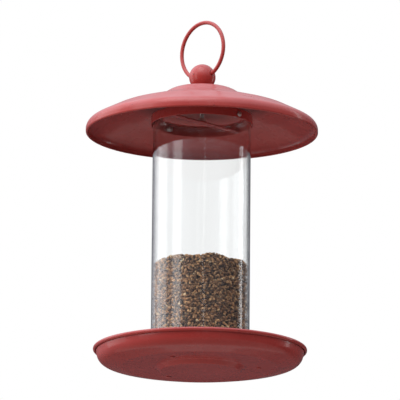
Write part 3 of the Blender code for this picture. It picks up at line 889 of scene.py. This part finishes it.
def grain_shape(sides, rings, power):
    """A unit seed along Z: its vertices, and its faces as triples."""
    verts = [(0.0, 0.0, -1.0)]
    for j in range(1, rings + 1):
        t = -math.cos(math.pi * j / (rings + 1))
        r = (1.0 - abs(t) ** power) ** 0.5
        for k in range(sides):
            a = 2 * math.pi * (k + 0.5 * (j % 2)) / sides
            verts.append((r * math.cos(a), r * math.sin(a), t))
    verts.append((0.0, 0.0, 1.0))
    faces = [(0, 1 + (k + 1) % sides, 1 + k) for k in range(sides)]
    for j in range(rings - 1):
        for k in range(sides):
            a = 1 + j * sides + k
            b = 1 + j * sides + (k + 1) % sides
            faces += [(a, b, b + sides), (a, b + sides, a + sides)]
    last = 1 + (rings - 1) * sides
    top = len(verts) - 1
    faces += [(top, last + k, last + (k + 1) % sides) for k in range(sides)]
    return np.array(verts), np.array(faces)


GRAINS = (
    # shape, half sizes across, across and along, share of the mix
    (grain_shape(8, 4, 2.6), (2.05 * MM, 1.85 * MM, 2.50 * MM), 0.56),
    (grain_shape(7, 3, 2.0), (1.45 * MM, 1.40 * MM, 1.70 * MM), 0.26),
    (grain_shape(8, 4, 1.6), (1.90 * MM, 1.25 * MM, 3.30 * MM), 0.18),
)


class SeedHeap:
    """Seeds gathered into one mesh, each with its own turn, size and tone."""

    def __init__(self, start):
        self.draw = random.Random(start)
        self.verts, self.faces, self.tones, self.count = [], [], [], 0

    def kind(self):
        pick = self.draw.random()
        for shape, half, share in GRAINS:
            pick -= share
            if pick < 0:
                return shape, half
        return GRAINS[0][0], GRAINS[0][1]

    def turn(self):
        angles = [self.draw.uniform(0, 2 * math.pi) for _ in range(3)]
        return np.array(Euler(angles).to_matrix())

    def reach(self, spin, half, direction):
        """How far a turned seed sticks out along a direction."""
        return float(np.linalg.norm((spin * np.array(half)).T @ np.array(direction)))

    def put(self, at, spin, shape, half):
        size = self.draw.uniform(0.86, 1.14)
        verts = (shape[0] * (np.array(half) * size)) @ spin.T + np.array(at)
        self.verts.append(verts)
        self.faces.append(shape[1] + self.count)
        self.count += len(verts)
        tone = min(1.0, max(0.0, self.draw.gauss(0.52, 0.22)))
        self.tones += [tone] * len(verts)

    def mesh(self, name):
        made = bpy.data.meshes.new(name)
        made.from_pydata(np.concatenate(self.verts).tolist(), [], np.concatenate(self.faces).tolist())
        layer = made.attributes.new("tone", "FLOAT", "POINT")
        layer.data.foreach_set("value", self.tones)
        made.shade_smooth()
        return made


GAP_SHARE = 0.16  # of the seed's places that are left empty, so that it has dark gaps
CREST_AT = (59 * MM, -29 * MM)
CREST_WIDTH = 17 * MM


def mound(x, y):
    """The level of the seed's top over its nominal level."""
    waves = 0.7 * math.sin(x * 61 + 1.0) + 0.7 * math.sin(y * 54 - 0.7) + 0.6 * math.sin((x + y) * 97)
    away = math.dist((x, y), CREST_AT) / CREST_WIDTH
    return (waves + 4.6 * math.exp(-away * away) - 2.8) * MM


def seed_column():
    """The seed in the tube: grains against the wall and over the top, on a core coloured almost black
    as painted shade.
    """
    heap = SeedHeap(41)
    pitch_round, pitch_up = 3.9 * MM, 3.5 * MM
    wall = TUBE_IN_R - 0.35 * MM
    rows = round((SEED_HIGH.z - SEED_LOW.z - 3 * MM) / pitch_up)
    for depth in (0.0, 3.4 * MM):
        columns = round(2 * math.pi * (wall - depth) / pitch_round)
        for row in range(rows):
            for column in range(columns):
                if heap.draw.random() < GAP_SHARE:
                    continue
                shift = 0.5 * (row % 2) + heap.draw.uniform(-0.36, 0.36)
                angle = 2 * math.pi * (column + shift) / columns
                z = SEED_LOW.z + 3 * MM + pitch_up * (row + heap.draw.uniform(-0.4, 0.4))
                shape, half = heap.kind()
                spin = heap.turn()
                out = (math.cos(angle), math.sin(angle), 0.0)
                sunk = depth + abs(heap.draw.gauss(0, 1.3)) * MM
                r = wall - 1.16 * heap.reach(spin, half, out) - sunk
                top = SEED_HIGH.z + mound(out[0] * r, out[1] * r) - 1.5 * MM
                if z < top:
                    heap.put((out[0] * r, out[1] * r, z), spin, shape, half)
    pitch = 3.9 * MM
    reach = int(wall / pitch) + 1
    for i in range(-reach, reach + 1):
        for j in range(-reach, reach + 1):
            x = (i + 0.5 * (j % 2) + heap.draw.uniform(-0.4, 0.4)) * pitch
            y = (j + heap.draw.uniform(-0.4, 0.4)) * pitch * 0.9
            shape, half = heap.kind()
            spin = heap.turn()
            if math.hypot(x, y) > wall - 3.6 * MM:
                continue
            z = SEED_HIGH.z + mound(x, y) - heap.reach(spin, half, (0, 0, 1)) * 0.6
            heap.put((x, y, z), spin, shape, half)
    # a drum inside the grains, coloured almost black: painted shade for the depths between them
    r = wall - 7.0 * MM
    shade_drum = turned("shade_core", subdivided([
        (0.0, SEED_HIGH.z - 7.5 * MM), (r, SEED_HIGH.z - 7.5 * MM), (r, SEED_LOW.z),
        (0.0, SEED_LOW.z),
    ], 4 * MM), 96, closed=False)
    shade_drum_verts = np.array([tuple(v.co) for v in shade_drum.vertices])
    shade_drum_faces = []
    for face in shade_drum.polygons:
        ring = list(face.vertices)
        shade_drum_faces += [(ring[0], ring[k], ring[k + 1]) for k in range(1, len(ring) - 1)]
    heap.faces.append(np.array(shade_drum_faces) + heap.count)
    heap.verts.append(shade_drum_verts)
    heap.count += len(shade_drum.vertices)
    # the drum's tone is at the near-black end of the ramp, as painted shade
    heap.tones += [0.04] * len(shade_drum.vertices)
    mesh = heap.mesh("seed_column")
    piece("seed_column", mesh, FEEDER, GRAIN, "seed_mix", "seed_fill")


def spilled_seed():
    """Seed that has run out of the four ports into the tray, and a few stray grains."""
    heap = SeedHeap(77)
    floor = TRAY_FLOOR_Z
    for side in range(4):
        angle = side * math.pi / 2
        made = 0
        while made < 120:
            away = heap.draw.uniform(0.0, 34.0) * MM
            across = heap.draw.gauss(0.0, 9.5 + 0.3 * away / MM) * MM
            level = 17.5 * MM - 0.52 * away - 0.25 * abs(across)
            if level < 1.5 * MM:
                continue
            r = 71.5 * MM + away
            x = r * math.cos(angle) - across * math.sin(angle)
            y = r * math.sin(angle) + across * math.cos(angle)
            under = 14 * MM if math.hypot(x, y) < 74.5 * MM else 1.6 * MM
            z = floor + max(under, level * heap.draw.uniform(0.25, 1.0))
            if z > floor + level and under > level:
                continue
            shape, half = heap.kind()
            heap.put((x, y, z), heap.turn(), shape, half)
            made += 1
    for _ in range(190):
        angle = heap.draw.uniform(0, 2 * math.pi)
        r = math.sqrt(heap.draw.uniform((93 * MM) ** 2, (128 * MM) ** 2))
        shape, half = heap.kind()
        lie = Euler((math.pi / 2 + heap.draw.uniform(-0.2, 0.2), 0.0, heap.draw.uniform(0, 6.28)))
        spin = np.array(lie.to_matrix())
        rise = max(0.0, r - 112 * MM) * 0.205
        z = floor + rise + heap.reach(spin, half, (0, 0, 1)) * 1.05
        heap.put((r * math.cos(angle), r * math.sin(angle), z), spin, shape, half)
    piece("spilled_seed", heap.mesh("spilled_seed"), FEEDER, GRAIN, "seed_mix")


# ---------------------------------------------------------------- stage, light and camera

CENTRE = Vector((-1.3 * MM, -1.3 * MM, -258 * MM))
VIEW = 44.0  # azimuth of the camera, in degrees
AZIMUTH, ELEVATION = math.radians(VIEW), math.radians(-13.0)
DISTANCE = 8.0
FRAME_WIDTH = 0.570  # width of the view at the feeder's axis
ROLL = math.radians(0.5)


def toward(azimuth, elevation):
    """The unit vector from the middle of the feeder towards a viewpoint."""
    flat = math.cos(elevation)
    return Vector((math.sin(azimuth) * flat, -math.cos(azimuth) * flat, math.sin(elevation)))


def camera():
    """A long lens well below the feeder, looking up at it."""
    data = bpy.data.cameras.new("camera")
    data.sensor_width = 36.0
    data.lens = data.sensor_width * DISTANCE / FRAME_WIDTH
    data.clip_end = 200.0
    eye = bpy.data.objects.new("camera", data)
    eye.location = CENTRE + toward(AZIMUTH, ELEVATION) * DISTANCE
    aim = (CENTRE - eye.location).to_track_quat("-Z", "Y").to_matrix().to_4x4()
    eye.rotation_euler = (aim @ Matrix.Rotation(ROLL, 4, "Z")).to_euler()
    bpy.context.scene.collection.objects.link(eye)
    bpy.context.scene.camera = eye


FLOOR_Z = -12.0  # below every viewpoint
FLOOR_R = 18.0


def stage():
    """A pale round floor far below, so that every view stays over it."""
    mesh = bpy.data.meshes.new("studio_floor")
    shape = bmesh.new()
    bmesh.ops.create_circle(shape, cap_ends=True, segments=256, radius=FLOOR_R)
    shape.to_mesh(mesh)
    shape.free()
    floor = bpy.data.objects.new("studio_floor", mesh)
    floor.location.z = FLOOR_Z
    bpy.context.scene.collection.objects.link(floor)
    look = Look("studio_floor")
    look.set(Base_Color=look.mix(look.noise(0.6), (0.44, 0.40, 0.36), (0.48, 0.44, 0.40)))
    look.set(Roughness=0.9)
    mesh.materials.append(look.made)


LEFT = Vector((-0.72, -0.69, 0.10))  # the side that the brighter light comes from
AHEAD = Vector((0.12, -0.99, 0.0))  # the dimmest part of the ceiling is the other way


def sky():
    """A white backdrop to look at, and a studio to be lit by: bright above and left, dim below."""
    world = bpy.data.worlds.new("studio")
    world.use_nodes = True
    bpy.context.scene.world = world
    tree = world.node_tree

    def add(kind, **settings):
        node = tree.nodes.new(kind)
        for key, value in settings.items():
            setattr(node, key, value)
        return node

    def spread(value, low, high, to_low, to_high):
        node = add("ShaderNodeMapRange", interpolation_type="SMOOTHSTEP")
        for key, number in (("From Min", low), ("From Max", high),
                            ("To Min", to_low), ("To Max", to_high)):
            node.inputs[key].default_value = number
        tree.links.new(value, node.inputs["Value"])
        return node.outputs["Result"]

    def calc(operation, a, b):
        node = add("ShaderNodeMath", operation=operation)
        for socket, value in zip(node.inputs, (a, b)):
            if isinstance(value, float):
                socket.default_value = value
            else:
                tree.links.new(value, socket)
        return node.outputs[0]

    where = add("ShaderNodeTexCoord").outputs["Generated"]
    parts = add("ShaderNodeSeparateXYZ")
    tree.links.new(where, parts.inputs[0])

    def facing(direction):
        node = add("ShaderNodeVectorMath", operation="DOT_PRODUCT")
        tree.links.new(where, node.inputs[0])
        node.inputs[1].default_value = direction.normalized()
        return node.outputs["Value"]

    overhead = spread(parts.outputs["Z"], 0.10, 0.75, 0.26, 1.80)
    overhead = calc("MULTIPLY", overhead, spread(facing(AHEAD), -0.80, 0.40, 0.45, 1.0))
    left = spread(facing(LEFT), 0.20, 0.95, 0.0, 0.50)
    low = spread(parts.outputs["Z"], -0.10, 0.12, 0.85, 1.0)
    studio = tree.nodes["Background"]
    studio.inputs["Color"].default_value = (0.97, 0.97, 1.07, 1.0)
    tree.links.new(calc("MULTIPLY", calc("ADD", overhead, left), low), studio.inputs["Strength"])
    backdrop = add("ShaderNodeBackground")
    backdrop.inputs["Color"].default_value = (1.0, 1.0, 1.0, 1.0)
    ray = add("ShaderNodeLightPath")
    bounced = calc("ADD", ray.outputs["Diffuse Depth"], ray.outputs["Glossy Depth"])
    straight = calc("LESS_THAN", bounced, 0.5)
    through = calc("MULTIPLY", ray.outputs["Is Transmission Ray"], straight)
    seen = calc("MAXIMUM", ray.outputs["Is Camera Ray"], through)
    mixer = add("ShaderNodeMixShader")
    tree.links.new(seen, mixer.inputs[0])
    tree.links.new(studio.outputs[0], mixer.inputs[1])
    tree.links.new(backdrop.outputs[0], mixer.inputs[2])
    tree.links.new(mixer.outputs[0], tree.nodes["World Output"].inputs["Surface"])


def strip(name, azimuth, elevation, distance, width, height, power):
    """A soft box that lights the feeder from one side and isn't seen itself."""
    data = bpy.data.lights.new(name, "AREA")
    data.shape = "RECTANGLE"
    data.size = width
    data.size_y = height
    data.energy = power
    lamp = bpy.data.objects.new(name, data)
    lamp.location = CENTRE + toward(math.radians(azimuth), math.radians(elevation)) * distance
    lamp.rotation_euler = (CENTRE - lamp.location).to_track_quat("-Z", "Y").to_euler()
    lamp.visible_camera = False
    bpy.context.scene.collection.objects.link(lamp)


def lights():
    """A soft box above, two broad ones and a narrow one that streak the tube, and one edge light."""
    strip("soft_top", VIEW - 24, 62, 2.6, 1.8, 1.8, 26)
    strip("strip_left", VIEW - 59, 9, 2.6, 1.0, 2.4, 16)
    strip("strip_far_left", VIEW - 105, 9, 2.6, 1.6, 2.4, 18)
    strip("strip_front", VIEW + 7, 9, 2.6, 0.07, 2.4, 1.3)
    strip("strip_edge", VIEW + 110, 9, 2.6, 0.30, 2.4, 8)


def tones():
    """Plain photographic tones, so that white stays white."""
    bpy.context.scene.view_settings.view_transform = "Standard"


def main():
    tones()
    camera()
    stage()
    sky()
    lights()
    hanger_loop()
    finial()
    roof()
    roof_carrier()
    collar()
    cross_bar()
    collar_fasteners()
    tube()
    base()
    tray()
    baffle()
    seed_column()
    spilled_seed()


main()
